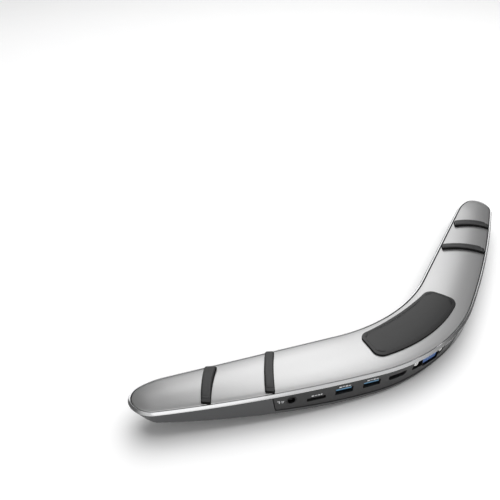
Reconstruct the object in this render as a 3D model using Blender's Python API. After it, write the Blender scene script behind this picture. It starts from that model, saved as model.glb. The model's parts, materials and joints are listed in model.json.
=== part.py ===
"""Crescent-shaped laptop docking station, at its real size.

The arms carry the back of a laptop on four rubber pads, and the ports look out of the convex front.
Frame: X runs from tip to tip, the ports face -Y, +Z is up, and the floor is at z = 0 under the feet.
Lengths in this file are millimetres, and to_metres turns them into Blender's metres.
"""

import math

import bmesh
import bpy
import numpy as np
from mathutils import Matrix, Vector

# Outline seen from above, right half, from the front centre round the tip: radius, turn in degrees, steps.
FRONT_ARC = (144.0, 22.24, 8)
ARM_ARC = (990.0, 8.85, 9)
TIP_CORNER = (18.6, 58.91, 8)
TIP_END = (12.0, 90.0, 5)
SHOULDER = (50.0, 21.45, 3)
ARM_BACK_STEPS = 9
BACK_ARC = (139.4, 21.45, 8)
HALF_STEPS = 50
TIP_STEP = 25
HALF_LENGTH = 200.0
DEPTH_MID = 53.6  # half of the front-to-back depth, which puts the origin under the middle of the box

# Heights
FOOT_HEIGHT = 1.6
HULL_RISE = 14.8  # how far the underside climbs by the time it is HULL_SPAN from the middle
HULL_SPAN = 190.0
RIM_Z = 23.1
TRIM_BOTTOM_Z = 23.4
COVER_EDGE_Z = 25.05
CROWN = 2.2

# Case and cover
WALL = 2.2
FLOOR = 2.0
FRONT_UNDERCUT = 5.4
UNDERCUT_SPREAD = 60.0
BACK_UNDERCUT = 2.0
TIP_START = 189.0
TIP_UNDERCUT = 3.0
TRIM_WIDTH = 2.1
TRIM_BEVEL = 1.6
COVER_INSET = 2.5
COVER_WALL = 1.6
EDGE_ROUND = 0.3
SKIRT_Z = 20.0
SKIRT_Z_OVER_PORTS = 23.35
GAP = 0.3

# Port panel in the front wall
PANEL_LEFT, PANEL_RIGHT = -125.0, 22.0
PANEL_LEAN = 0.15  # sideways slant of the panel's left end, per millimetre of height
PANEL_LIP = 2.2
PANEL_THICK = 1.8
PANEL_SET_BACK = 0.4
PANEL_GAP = 0.55
PANEL_STEPS = 24

# Ports: where each stands along the front, and the height of its middle
BOARD_TOP_Z = 12.2
BOARD_THICK = 1.6
DC_JACK_AT = (-113.0, 17.4)
MICRO_B_AT = (-97.0, 14.1)
USB_A_AT = ((-78.6, 15.5), (-59.6, 15.5))
HDMI_AT = (-40.0, 15.4)
VGA_AT = (-11.0, 18.6)
VGA_SET_BACK = 4.0  # the flat connector sits in a pocket of the curved front
SHELL_SET_BACK = 2.9  # the other shells start just behind the panel
VGA_SCREW_PITCH = 24.99

# Rubber pads on the arms: front end (x, y), length; and their common section
PADS = {"inner": (124.3, 45.7, 36.0), "outer": (161.8, 65.4, 30.6)}
PAD_TAPER = {"inner": 0.0, "outer": 2.2}  # how much wider the back end is, on the side nearer the middle
PAD_WIDTH = 6.4
PAD_PROUD = 3.0
PAD_LEAN = 40.5  # degrees from +Y, towards the middle
PAD_BOW = 0.8
POCKET_DEPTH = 0.6

# Centre badge
BADGE_FRONT_Y, BADGE_FRONT_RADIUS, BADGE_HALF_ANGLE = 12.0, 132.0, 21.0
BADGE_BACK_Y, BADGE_BACK_RADIUS, BADGE_BACK_HALF = 41.1, 270.0, 40.6
BADGE_CORNER = 7.0
BADGE_PROUD = 1.3

FEET = ((-26.0, 17.0), (26.0, 17.0), (-112.0, 61.0), (112.0, 61.0))
FOOT_RADIUS = 7.0
CASE_SCREWS = (-160.0, -97.0, -36.0, 36.0, 97.0, 160.0)
CASE_SCREW_INSET = 7.5
BOARD_SCREWS = ((-104.0, 60.0), (-66.0, 42.5), (-24.0, 33.0), (34.0, 24.0))
BOARD_LEFT, BOARD_RIGHT = -119.0, 44.0

MATERIALS = {
    "silver_paint": ((0.72, 0.73, 0.74), 0.32, 0.75),
    "polished_trim": ((0.86, 0.87, 0.88), 0.12, 1.0),
    "gunmetal_plastic": ((0.075, 0.077, 0.08), 0.38, 0.35),
    "panel_plastic": ((0.035, 0.035, 0.037), 0.45, 0.0),
    "badge_plastic": ((0.05, 0.05, 0.052), 0.35, 0.1),
    "pad_rubber": ((0.03, 0.03, 0.031), 0.7, 0.0),
    "foot_rubber": ((0.02, 0.02, 0.02), 0.85, 0.0),
    "port_steel": ((0.62, 0.62, 0.63), 0.25, 1.0),
    "blue_insulator": ((0.02, 0.09, 0.42), 0.4, 0.0),
    "black_insulator": ((0.015, 0.015, 0.016), 0.5, 0.0),
    "circuit_board": ((0.01, 0.12, 0.05), 0.45, 0.0),
    "chip_epoxy": ((0.02, 0.02, 0.022), 0.55, 0.0),
    "screw_steel": ((0.35, 0.35, 0.36), 0.3, 1.0),
}


def material(name):
    """The named Principled material, made on first use."""
    if name in bpy.data.materials:
        return bpy.data.materials[name]
    colour, roughness, metallic = MATERIALS[name]
    made = bpy.data.materials.new(name)
    made.use_nodes = True
    shader = made.node_tree.nodes["Principled BSDF"]
    shader.inputs["Base Color"].default_value = (*colour, 1.0)
    shader.inputs["Roughness"].default_value = roughness
    shader.inputs["Metallic"].default_value = metallic
    return made


def to_metres(points):
    """Points of the outline's frame (front edge at y = 0), in metres about the origin."""
    return [(x * 0.001, (y - DEPTH_MID) * 0.001, z * 0.001) for x, y, z in points]


def add_object(name, points, faces, material_name, smooth_angle=35.0):
    """An object from points already in metres, with its faces turned outwards."""
    mesh = bpy.data.meshes.new(name)
    mesh.from_pydata(points, [], faces)
    shape = bmesh.new()
    shape.from_mesh(mesh)
    bmesh.ops.recalc_face_normals(shape, faces=shape.faces)
    shape.to_mesh(mesh)
    shape.free()
    mesh.shade_smooth()
    mesh.set_sharp_from_angle(angle=math.radians(smooth_angle))
    mesh.materials.append(material(material_name))
    made = bpy.data.objects.new(name, mesh)
    bpy.context.scene.collection.objects.link(made)
    return made


def boolean(target, tool, operation):
    """A Boolean on target; the tool stays out of the model."""
    tool.hide_render = True
    tool.display_type = "WIRE"
    change = target.modifiers.new(f"{operation.lower()}_{tool.name}", "BOOLEAN")
    change.operation = operation
    change.object = tool
    change.solver = "EXACT"


def ease(low, high, value):
    """0 below low, 1 above high, and a smooth step between."""
    part = min(max((value - low) / (high - low), 0.0), 1.0)
    return part * part * (3.0 - 2.0 * part)


# --- the outline -------------------------------------------------------------------------------------------


def half_outline():
    """(x, y, heading) from the front centre round the right tip to the back centre."""
    steps = [(0.0, 0.0, 0.0)]

    def arc(radius, degrees, count):
        x, y, start = steps[-1]
        for step in range(1, count + 1):
            heading = start + math.radians(degrees) * step / count
            steps.append(
                (
                    x + radius * (math.sin(heading) - math.sin(start)),
                    y + radius * (math.cos(start) - math.cos(heading)),
                    heading,
                )
            )

    for piece in (FRONT_ARC, ARM_ARC, TIP_CORNER, TIP_END, SHOULDER):
        arc(*piece)
    x, y, heading = steps[-1]
    back_radius, back_turn, back_count = BACK_ARC
    run = (x - back_radius * math.sin(math.radians(back_turn))) / -math.cos(heading)
    for step in range(1, ARM_BACK_STEPS + 1):
        along = run * step / ARM_BACK_STEPS
        steps.append((x + along * math.cos(heading), y + along * math.sin(heading), heading))
    arc(-back_radius, -back_turn, back_count)
    return steps


def full_outline():
    """(x, y, inward normal x, inward normal y) counterclockwise from the front centre."""
    right = [(x, y, -math.sin(h), math.cos(h)) for x, y, h in half_outline()]
    left = [(-x, y, -nx, ny) for x, y, nx, ny in right[HALF_STEPS - 1 : 0 : -1]]
    return right + left


OUTLINE = full_outline()
COUNT = len(OUTLINE)


def is_front(index):
    return index <= TIP_STEP or index >= COUNT - TIP_STEP


def value(rule, x, front):
    return rule(x, front) if callable(rule) else rule


def ring(inset, height):
    """The outline moved inwards; inset and height are numbers or functions of x and the side."""
    points = []
    for index, (x, y, nx, ny) in enumerate(OUTLINE):
        move = value(inset, x, is_front(index))
        points.append((x + nx * move, y + ny * move, value(height, x, is_front(index))))
    return points


def across(points, start, rows, height):
    """Points and faces that span a ring from its front to its back, rows deep, at height(x, y).

    start is the index of the ring's first point. New points follow the ones already listed.
    """
    first_new = start + COUNT
    grid, added = [], []
    for column in range(-TIP_STEP, TIP_STEP + 1):
        front, back = column % COUNT, (HALF_STEPS - column) % COUNT
        if front == back:
            grid.append([start + front] * (rows + 1))
            continue
        line = [start + front]
        for row in range(1, rows):
            share = row / rows
            x = points[front][0] * (1 - share) + points[back][0] * share
            y = points[front][1] * (1 - share) + points[back][1] * share
            line.append(first_new + len(added))
            added.append((x, y, height(x, y)))
        grid.append(line + [start + back])
    faces = []
    for left, right in zip(grid, grid[1:]):
        for row in range(rows):
            corners = (left[row], right[row], right[row + 1], left[row + 1])
            faces.append(tuple(dict.fromkeys(corners)))
    return added, faces


def ring_walls(rings_first, rings_second):
    """Quads between two rings whose points start at the given indices."""
    return [
        (rings_first + i, rings_first + (i + 1) % COUNT, rings_second + (i + 1) % COUNT, rings_second + i)
        for i in range(COUNT)
    ]


def front_y(x, inset=0.0):
    """y of the front edge at x, moved in by inset."""
    columns = [i % COUNT for i in range(-TIP_STEP, TIP_STEP + 1)]
    moved = [(OUTLINE[i][0] + OUTLINE[i][2] * inset, OUTLINE[i][1] + OUTLINE[i][3] * inset) for i in columns]
    return float(np.interp(x, [p[0] for p in moved], [p[1] for p in moved]))


def back_y(x, inset=0.0):
    """y of the back edge at x, moved in by inset."""
    columns = range(COUNT - TIP_STEP, TIP_STEP - 1, -1)
    moved = [(OUTLINE[i][0] + OUTLINE[i][2] * inset, OUTLINE[i][1] + OUTLINE[i][3] * inset) for i in columns]
    return float(np.interp(x, [p[0] for p in moved], [p[1] for p in moved]))


def front_heading(x):
    """Heading of the front edge at x, in radians: 0 in the middle, positive on the right arm."""
    reach = abs(x)
    radius, turn, _ = FRONT_ARC
    end_x = radius * math.sin(math.radians(turn))
    if reach <= end_x:
        heading = math.asin(reach / radius)
    else:
        heading = math.asin(math.sin(math.radians(turn)) + (reach - end_x) / ARM_ARC[0])
    return math.copysign(heading, x)


# --- heights and slants of the body ------------------------------------------------------------------------


def hull_z(x, front=True):
    """Underside of the case."""
    return FOOT_HEIGHT + HULL_RISE * (x / HULL_SPAN) ** 2


def hull_inset(x, front):
    """How far the case's bottom edge stands inside its rim."""
    side = FRONT_UNDERCUT * math.exp(-((x / UNDERCUT_SPREAD) ** 2)) if front else BACK_UNDERCUT
    tip = ease(TIP_START, HALF_LENGTH, abs(x))
    return side * (1 - tip) + TIP_UNDERCUT * tip


def floor_top_z(x, front=True):
    return hull_z(x) + FLOOR


def wall_inset(x, z):
    """How far the front wall's outer face stands inside the rim at height z."""
    low = hull_z(x)
    return hull_inset(x, True) * (RIM_Z - z) / (RIM_Z - low)


def cover_z(x, y):
    """Top of the cover: a low crown across the arm that fades out at the tips."""
    low, high = front_y(x, COVER_INSET), back_y(x, COVER_INSET)
    width = high - low
    if width < 0.5:
        return COVER_EDGE_Z
    share = min(max((y - low) / width, 0.0), 1.0)
    return COVER_EDGE_Z + CROWN * ease(0.0, 40.0, width) * (1 - (2 * share - 1) ** 2)


def skirt_z(x, front):
    """Lower edge of the cover's skirt, which stops higher over the ports and above the tips' floor."""
    if front and PANEL_LEFT - 4 < x < PANEL_RIGHT + 4:
        return SKIRT_Z_OVER_PORTS
    return SKIRT_Z + (SKIRT_Z_OVER_PORTS - SKIRT_Z) * ease(164.0, 178.0, abs(x))


def skirt_inset(x, front):
    """The skirt's lower edge keeps clear of the case wall, which leans inwards on its way down."""
    share = max(RIM_Z - skirt_z(x, front), 0.0) / (RIM_Z - floor_top_z(x))
    return max(COVER_INSET, WALL + GAP + hull_inset(x, front) * share)


# --- shells ------------------------------------------------------------------------------------------------


def shell(name, rings, first_span, last_span, material_name):
    """A closed shell: rings joined in order, its first and last ring spanned by surfaces of given height."""
    points, faces = [], []
    for level in rings:
        points += level
    for level in range(len(rings) - 1):
        faces += ring_walls(level * COUNT, (level + 1) * COUNT)
    for which, (rows, height) in ((0, first_span), (len(rings) - 1, last_span)):
        added, more = across(rings[which], 0, rows, height)
        shift, base = len(points), which * COUNT
        renamed = [tuple(i + base if i < COUNT else i - COUNT + shift for i in face) for face in more]
        points += added
        faces += renamed
    return add_object(name, to_metres(points), faces, material_name)


def make_bottom_case():
    rings = [
        ring(hull_inset, hull_z),
        ring(0.0, RIM_Z),
        ring(WALL, RIM_Z),
        ring(lambda x, front: hull_inset(x, front) + WALL, floor_top_z),
    ]
    under = (4, lambda x, y: hull_z(x))
    inside = (4, lambda x, y: floor_top_z(x))
    case = shell("bottom_case", rings, under, inside, "gunmetal_plastic")
    boolean(case, posts(), "UNION")
    boolean(case, case_holes(), "DIFFERENCE")
    boolean(case, panel_window(), "DIFFERENCE")
    return case


def make_top_cover():
    rings = [
        ring(COVER_INSET + EDGE_ROUND, COVER_EDGE_Z),
        ring(COVER_INSET, COVER_EDGE_Z - EDGE_ROUND),
        ring(skirt_inset, skirt_z),
        ring(lambda x, front: skirt_inset(x, front) + COVER_WALL, skirt_z),
        ring(COVER_INSET + COVER_WALL, COVER_EDGE_Z - COVER_WALL),
    ]
    cover = shell(
        "top_cover",
        rings,
        (10, cover_z),
        (6, lambda x, y: cover_z(x, y) - COVER_WALL),
        "silver_paint",
    )
    boolean(cover, cover_bosses(), "UNION")
    boolean(cover, cover_boss_holes(), "DIFFERENCE")
    boolean(cover, pockets(), "DIFFERENCE")
    return cover


def make_rim_trim():
    """Polished strip round the whole rim, between the case and the cover."""
    levels = [
        ring(0.0, TRIM_BOTTOM_Z),
        ring(TRIM_BEVEL, TRIM_BOTTOM_Z + TRIM_BEVEL),
        ring(TRIM_WIDTH, TRIM_BOTTOM_Z + TRIM_BEVEL),
        ring(TRIM_WIDTH, TRIM_BOTTOM_Z),
    ]
    points = [point for level in levels for point in level]
    faces = []
    for level in range(4):
        faces += ring_walls(level * COUNT, (level + 1) % 4 * COUNT)
    return add_object("rim_trim", to_metres(points), faces, "polished_trim", 20.0)


# --- shapes that several pieces share ----------------------------------------------------------------------


def cylinder(x, y, low, high, radius, sides=24):
    """Points and faces of an upright cylinder, in the outline's frame."""
    points = [
        (x + radius * math.cos(math.tau * i / sides), y + radius * math.sin(math.tau * i / sides), z)
        for z in (low, high)
        for i in range(sides)
    ]
    faces = [(i, (i + 1) % sides, sides + (i + 1) % sides, sides + i) for i in range(sides)]
    return points, faces + [tuple(reversed(range(sides))), tuple(range(sides, 2 * sides))]


def joined(pieces):
    """Several (points, faces) as one."""
    points, faces = [], []
    for more_points, more_faces in pieces:
        shift = len(points)
        points += more_points
        faces += [tuple(i + shift for i in face) for face in more_faces]
    return points, faces


def rounded_box(width, depth, radius, steps=4):
    """Outline of a rectangle with round corners, counterclockwise about its middle."""
    points = []
    for cx, cy, start in ((1, 1, 0), (-1, 1, 90), (-1, -1, 180), (1, -1, 270)):
        for step in range(steps + 1):
            angle = math.radians(start + 90 * step / steps)
            points.append(
                (
                    cx * (width / 2 - radius) + radius * math.cos(angle),
                    cy * (depth / 2 - radius) + radius * math.sin(angle),
                )
            )
    return points


def plate(outline, place, low, high, shrink=(), caps=(1.0, 0.72, 0.44, 0.16)):
    """A closed plate whose faces follow low(x, y) and high(x, y).

    outline is in the plate's own flat frame, and place maps a point of it to the plan. shrink lists
    (scale, drop) pairs that round the upper edge, from the wall inwards.
    """
    count = len(outline)
    levels = []
    for scale in reversed(caps):
        levels.append([(*place(u * scale, v * scale), low, 0.0) for u, v in outline])
    for scale, drop in shrink:
        levels.append([(*place(u * scale, v * scale), high, drop) for u, v in outline])
    top = shrink[-1][0] if shrink else 1.0
    for scale in caps if not shrink else [c * top for c in caps[1:]]:
        levels.append([(*place(u * scale, v * scale), high, 0.0) for u, v in outline])
    points = [(x, y, surface(x, y) - drop) for level in levels for x, y, surface, drop in level]
    faces = [
        (a * count + i, a * count + (i + 1) % count, (a + 1) * count + (i + 1) % count, (a + 1) * count + i)
        for a in range(len(levels) - 1)
        for i in range(count)
    ]
    faces.append(tuple(reversed(range(count))))
    faces.append(tuple(range((len(levels) - 1) * count, len(levels) * count)))
    return points, faces


def hidden(name, shape):
    """A helper for Booleans, from (points, faces) in the outline's frame."""
    points, faces = shape
    return add_object(name, to_metres(points), faces, "panel_plastic")


# --- pads and badge ----------------------------------------------------------------------------------------


def pad_place(side, kind):
    """Maps a pad's own frame (u across, v along, from -half to +half) to the plan."""
    x0, y0, length = PADS[kind]
    lean = math.radians(PAD_LEAN)

    def place(u, v):
        along = v + length / 2
        bow = PAD_BOW * (1 - (2 * v / length) ** 2)
        taper = PAD_TAPER[kind] * along / length
        across_it = bow + (u if u > 0 else u * (1 + 2 * taper / PAD_WIDTH))
        x = x0 - along * math.sin(lean) + across_it * math.cos(lean)
        y = y0 + along * math.cos(lean) + across_it * math.sin(lean)
        return side * x, y

    return place


def pad_outline(length, grow):
    """Long rectangle with small round corners and extra points along its sides."""
    corner = rounded_box(PAD_WIDTH + 2 * grow, length + 2 * grow, 1.0 + grow, 2)
    points = []
    for start, end in zip(corner, corner[1:] + corner[:1]):
        points.append(start)
        far = math.dist(start, end)
        cuts = int(far // 4.5)
        for cut in range(1, cuts):
            share = cut / cuts
            points.append((start[0] * (1 - share) + end[0] * share, start[1] * (1 - share) + end[1] * share))
    return points


def pad_shape(side, kind, grow, low, high, shrink=()):
    outline = pad_outline(PADS[kind][2], grow)
    return plate(outline, pad_place(side, kind), low, high, shrink, caps=(1.0, 0.6, 0.2))


def pads():
    return [(side_name, side, kind) for side_name, side in (("left", -1), ("right", 1)) for kind in PADS]


def make_pads():
    for side_name, side, kind in pads():
        points, faces = pad_shape(
            side,
            kind,
            0.0,
            lambda x, y: cover_z(x, y) - POCKET_DEPTH + GAP,
            lambda x, y: cover_z(x, y) + PAD_PROUD,
            shrink=((1.0, 0.5), (0.97, 0.12), (0.93, 0.0)),
        )
        add_object(f"rest_pad_{side_name}_{kind}", to_metres(points), faces, "pad_rubber")


def badge_place(u, v):
    """Maps the badge's own frame to the plan: u along, v from front to back, about its middle."""
    half = BADGE_FRONT_RADIUS * math.radians(BADGE_HALF_ANGLE)
    depth = BADGE_BACK_Y - BADGE_FRONT_Y
    share, part = u / half, (v + depth / 2) / depth
    angle = share * math.radians(BADGE_HALF_ANGLE)
    front = (
        BADGE_FRONT_RADIUS * math.sin(angle),
        BADGE_FRONT_Y + BADGE_FRONT_RADIUS * (1 - math.cos(angle)),
    )
    back_x = share * BADGE_BACK_HALF
    back = (back_x, BADGE_BACK_Y + back_x**2 / (2 * BADGE_BACK_RADIUS))
    return front[0] * (1 - part) + back[0] * part, front[1] * (1 - part) + back[1] * part


def badge_outline(grow):
    length = 2 * BADGE_FRONT_RADIUS * math.radians(BADGE_HALF_ANGLE) + 2 * grow
    depth = BADGE_BACK_Y - BADGE_FRONT_Y + 2 * grow
    corners = rounded_box(length, depth, BADGE_CORNER + grow, 5)
    points = []
    for start, end in zip(corners, corners[1:] + corners[:1]):
        points.append(start)
        cuts = int(math.dist(start, end) // 6)
        for cut in range(1, cuts):
            share = cut / cuts
            points.append((start[0] * (1 - share) + end[0] * share, start[1] * (1 - share) + end[1] * share))
    return points


def make_badge():
    points, faces = plate(
        badge_outline(0.0),
        badge_place,
        lambda x, y: cover_z(x, y) - POCKET_DEPTH + GAP,
        lambda x, y: cover_z(x, y) + BADGE_PROUD,
        shrink=((1.0, 0.5), (0.992, 0.15), (0.98, 0.0)),
    )
    add_object("center_badge", to_metres(points), faces, "badge_plastic")


def pockets():
    """Shallow beds in the cover for the badge and the pads."""
    def low(x, y):
        return cover_z(x, y) - POCKET_DEPTH

    def high(x, y):
        return cover_z(x, y) + 4.0

    shapes = [plate(badge_outline(GAP), badge_place, low, high)]
    shapes += [pad_shape(side, kind, GAP, low, high) for _, side, kind in pads()]
    return hidden("pocket_cutter", joined(shapes))


# --- screws, posts and feet --------------------------------------------------------------------------------


def case_screw_place(x):
    return x, back_y(x, CASE_SCREW_INSET)


def post_top(x):
    return min(hull_z(x) + 6.0, RIM_Z - 5.0)


def posts():
    """Case posts for the case screws and stand-offs for the board."""
    shapes = []
    for x in CASE_SCREWS:
        px, py = case_screw_place(x)
        shapes.append(cylinder(px, py, hull_z(x) + 0.7, post_top(x), 4.4))
    for x, y in BOARD_SCREWS:
        shapes.append(cylinder(x, y, hull_z(x) + 0.7, BOARD_TOP_Z - BOARD_THICK - GAP, 3.0))
    return hidden("post_tool", joined(shapes))


def case_holes():
    shapes = []
    for x in CASE_SCREWS:
        px, py = case_screw_place(x)
        shapes.append(cylinder(px, py, hull_z(x) - 3.0, hull_z(x) + 3.2, 3.1))
        shapes.append(cylinder(px, py, hull_z(x) + 1.0, post_top(x) + 2.0, 1.7))
    for x, y in BOARD_SCREWS:
        shapes.append(cylinder(x, y, BOARD_TOP_Z - BOARD_THICK - 5.2, BOARD_TOP_Z + 1.0, 1.35, 16))
    return hidden("case_hole_cutter", united(shapes))


def united(shapes):
    """Overlapping shapes as one closed mesh each: the stepped hole is one turned solid."""
    merged, index = [], 0
    while index < len(shapes):
        if index < 2 * len(CASE_SCREWS):
            merged.append(stepped_hole(shapes[index][0], shapes[index + 1][0]))
            index += 2
        else:
            merged.append(shapes[index])
            index += 1
    return joined(merged)


def stepped_hole(wide, narrow):
    """One closed counterbore from the points of a wide lower and a narrow upper cylinder."""
    sides = len(wide) // 2
    points = wide[:sides] + wide[sides:] + [(x, y, wide[-1][2]) for x, y, _ in narrow[:sides]] + narrow[sides:]
    faces = [tuple(reversed(range(sides))), tuple(range(3 * sides, 4 * sides))]
    for level in range(3):
        for i in range(sides):
            a, b = level * sides + i, level * sides + (i + 1) % sides
            faces.append((a, b, b + sides, a + sides))
    return points, faces


def cover_bosses():
    shapes = []
    for x in CASE_SCREWS:
        px, py = case_screw_place(x)
        shapes.append(cylinder(px, py, post_top(x) + GAP, cover_z(px, py) - 0.8, 3.4))
    return hidden("boss_tool", joined(shapes))


def cover_boss_holes():
    shapes = []
    for x in CASE_SCREWS:
        px, py = case_screw_place(x)
        shapes.append(cylinder(px, py, post_top(x) - 1.0, cover_z(px, py) - 2.2, 1.5, 16))
    return hidden("boss_hole_cutter", joined(shapes))


def turned(name, x, y, profile, material_name, sides=24, smooth_angle=35.0):
    """An upright turned piece from (radius, z) pairs, bottom to top, closed by flat ends."""
    points, faces = [], []
    for radius, z in profile:
        for i in range(sides):
            angle = math.tau * i / sides
            points.append((x + radius * math.cos(angle), y + radius * math.sin(angle), z))
    for level in range(len(profile) - 1):
        for i in range(sides):
            a, b = level * sides + i, level * sides + (i + 1) % sides
            faces.append((a, b, b + sides, a + sides))
    faces.append(tuple(reversed(range(sides))))
    faces.append(tuple(range((len(profile) - 1) * sides, len(profile) * sides)))
    return add_object(name, to_metres(points), faces, material_name, smooth_angle)


def cross_cutter(name, x, y, low, high, reach=1.7, width=0.7):
    """Cross-shaped cutter for a screw's drive."""
    plan = []
    for quarter in range(4):
        turn = math.tau * quarter / 4
        for a, b in ((reach, -width / 2), (reach, width / 2), (width / 2, width / 2)):
            plan.append((a * math.cos(turn) - b * math.sin(turn), a * math.sin(turn) + b * math.cos(turn)))
    count = len(plan)
    points = [(x + u, y + v, z) for z in (low, high) for u, v in plan]
    faces = [(i, (i + 1) % count, count + (i + 1) % count, count + i) for i in range(count)]
    faces += [tuple(reversed(range(count))), tuple(range(count, 2 * count))]
    return hidden(name, (points, faces))


def make_case_screws():
    for number, x in enumerate(CASE_SCREWS, 1):
        px, py = case_screw_place(x)
        head_low, head_high = hull_z(x) + 0.8, hull_z(x) + 2.9
        tip = cover_z(px, py) - 3.0
        profile = [(2.3, head_low), (2.7, head_low + 0.5), (2.7, head_high), (1.2, head_high), (1.2, tip)]
        screw = turned(f"case_screw_{number}", px, py, profile, "screw_steel", 20)
        boolean(screw, cross_cutter(f"case_drive_{number}", px, py, head_low - 1, head_low + 1.2), "DIFFERENCE")


def make_board_screws():
    for number, (x, y) in enumerate(BOARD_SCREWS, 1):
        low = BOARD_TOP_Z - BOARD_THICK - 4.6
        head = BOARD_TOP_Z + GAP
        profile = [(1.05, low), (1.05, head), (2.3, head), (2.3, head + 1.0), (1.6, head + 1.5)]
        screw = turned(f"board_screw_{number}", x, y, profile, "screw_steel", 16)
        tool = cross_cutter(f"board_drive_{number}", x, y, head + 0.6, head + 2.5, 1.2, 0.55)
        boolean(screw, tool, "DIFFERENCE")


def make_feet():
    for number, (x, y) in enumerate(FEET, 1):
        outline = rounded_box(2 * FOOT_RADIUS, 2 * FOOT_RADIUS, FOOT_RADIUS, 6)

        def place(u, v, x=x, y=y):
            return x + u, y + v

        points, faces = plate(outline, place, lambda px, py: 0.0, lambda px, py: hull_z(px) - GAP)
        rounded = [(px, py, pz) for px, py, pz in points]
        add_object(f"rubber_foot_{number}", to_metres(rounded), faces, "foot_rubber")


# --- port panel --------------------------------------------------------------------------------------------


def panel_low(x):
    return hull_z(x) + PANEL_LIP


def wall_point(x, z, inset):
    """Point inset behind the front wall's outer face at height z, abreast of the rim point at x."""
    heading = front_heading(x)
    move = wall_inset(x, z) + inset
    return x - math.sin(heading) * move, front_y(x) + math.cos(heading) * move, z


def curved_slab(left, right, lean, low, high, outer, inner):
    """Part of the front wall between two ends; low and high are functions of x, lean slants the left end."""
    points, faces = [], []
    rows = 3
    for step in range(PANEL_STEPS + 1):
        share = step / PANEL_STEPS
        for inset in (outer, inner):
            for row in range(rows + 1):
                part = row / rows
                x = left + (right - left) * share
                z = low(x) * (1 - part) + high(x) * part
                points.append(wall_point(x + lean * (RIM_Z - z) * (1 - share), z, inset))
    size = 2 * (rows + 1)
    loop = list(range(rows + 1)) + [size - 1 - row for row in range(rows + 1)]
    for step in range(PANEL_STEPS):
        a, b = step * size, (step + 1) * size
        for i in range(size):
            p, q = loop[i], loop[(i + 1) % size]
            faces.append((a + p, a + q, b + q, b + p))
    faces.append(tuple(loop))
    faces.append(tuple(PANEL_STEPS * size + i for i in reversed(loop)))
    return points, faces


def panel_window():
    """Opening in the case's front wall, as high as its rim."""
    shape = curved_slab(
        PANEL_LEFT, PANEL_RIGHT, PANEL_LEAN, panel_low, lambda x: RIM_Z + 3.0, -2.0, WALL + 2.5
    )
    return hidden("panel_window_cutter", shape)


def make_port_panel():
    shape = curved_slab(
        PANEL_LEFT + PANEL_GAP,
        PANEL_RIGHT - PANEL_GAP,
        PANEL_LEAN,
        lambda x: panel_low(x) + PANEL_GAP,
        lambda x: RIM_Z,
        PANEL_SET_BACK,
        PANEL_SET_BACK + PANEL_THICK,
    )
    points, faces = shape
    panel = add_object("port_panel", to_metres(points), faces, "panel_plastic")
    for index, (outline, place) in enumerate(panel_cutouts()):
        tool = port_solid(f"panel_cutter_{index}", outline, -6.0, 8.0, place, "panel_plastic")
        boolean(panel, tool, "DIFFERENCE")
    return panel


# --- ports: each is drawn in a frame with its face at y = 0, its inside towards +Y, and its middle at z = 0 --


def port_matrix(x, z, set_back=0.0):
    """Where a port's own frame stands: its face on the panel, turned to look straight out of it."""
    px, py, pz = wall_point(x, z, PANEL_SET_BACK + set_back)
    place = Vector(to_metres([(px, py, pz)])[0])
    return Matrix.Translation(place) @ Matrix.Rotation(front_heading(x), 4, "Z")


def port_solid(name, outline, near, far, place, material_name, smooth_angle=35.0):
    """A prism of an (x, z) outline, in millimetres, from y = near to y = far in a port's frame."""
    count = len(outline)
    points = [(u * 0.001, y * 0.001, v * 0.001) for y in (near, far) for u, v in outline]
    faces = [(i, (i + 1) % count, count + (i + 1) % count, count + i) for i in range(count)]
    faces += [tuple(range(count)), tuple(reversed(range(count, 2 * count)))]
    made = add_object(name, points, faces, material_name, smooth_angle)
    made.matrix_world = place
    return made


def circle(radius, sides=28, x=0.0, z=0.0):
    return [
        (x + radius * math.cos(math.tau * i / sides), z + radius * math.sin(math.tau * i / sides))
        for i in range(sides)
    ]


def d_outline(width, height, slope, radius=1.2):
    """D-shaped outline, wide side up, with round corners."""
    top, bottom = width / 2, width / 2 - slope
    corners = ((top, height / 2), (-top, height / 2), (-bottom, -height / 2), (bottom, -height / 2))
    return rounded_polygon(corners, radius)


def hdmi_outline(grow):
    """Flat plug outline with its two lower corners cut off."""
    w, h, cut = 7.3 + grow, 2.5 + grow, 1.7
    corners = ((w, h), (-w, h), (-w, -h + 1.4), (-w + cut, -h), (w - cut, -h), (w, -h + 1.4))
    return rounded_polygon(corners, 0.5)


def rounded_polygon(corners, radius, steps=3):
    """The counterclockwise polygon with each corner rounded to about the radius."""
    points = []
    count = len(corners)
    for i, corner in enumerate(corners):
        before, after = Vector(corners[i - 1]), Vector(corners[(i + 1) % count])
        here = Vector(corner)
        into, out = (before - here).normalized(), (after - here).normalized()
        start, end = here + into * radius, here + out * radius
        for step in range(steps + 1):
            t = step / steps
            mixed = start * (1 - t) ** 2 + here * 2 * t * (1 - t) + end * t**2
            points.append((mixed.x, mixed.y))
    return points


def box(width, height, radius=0.4, x=0.0, z=0.0):
    return [(x + u, z + v) for u, v in rounded_box(width, height, radius, 3)]


def panel_cutouts():
    """Every opening of the panel: its outline and its place."""
    cutouts = [
        (circle(3.55), port_matrix(*DC_JACK_AT)),
        (box(13.6, 3.1, 0.9), port_matrix(*MICRO_B_AT)),
        (hdmi_outline(0.1), port_matrix(*HDMI_AT)),
        (video_pocket(), port_matrix(*VGA_AT)),
    ]
    cutouts += [(box(13.2, 5.7, 0.4), port_matrix(x, z)) for x, z in USB_A_AT]
    return cutouts


def video_pocket():
    """Opening round the video port and its screws, open upwards to the panel's top edge."""
    return rounded_polygon(((16.4, 7.0), (-16.4, 7.0), (-16.4, -5.3), (16.4, -5.3)), 2.2)


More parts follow.
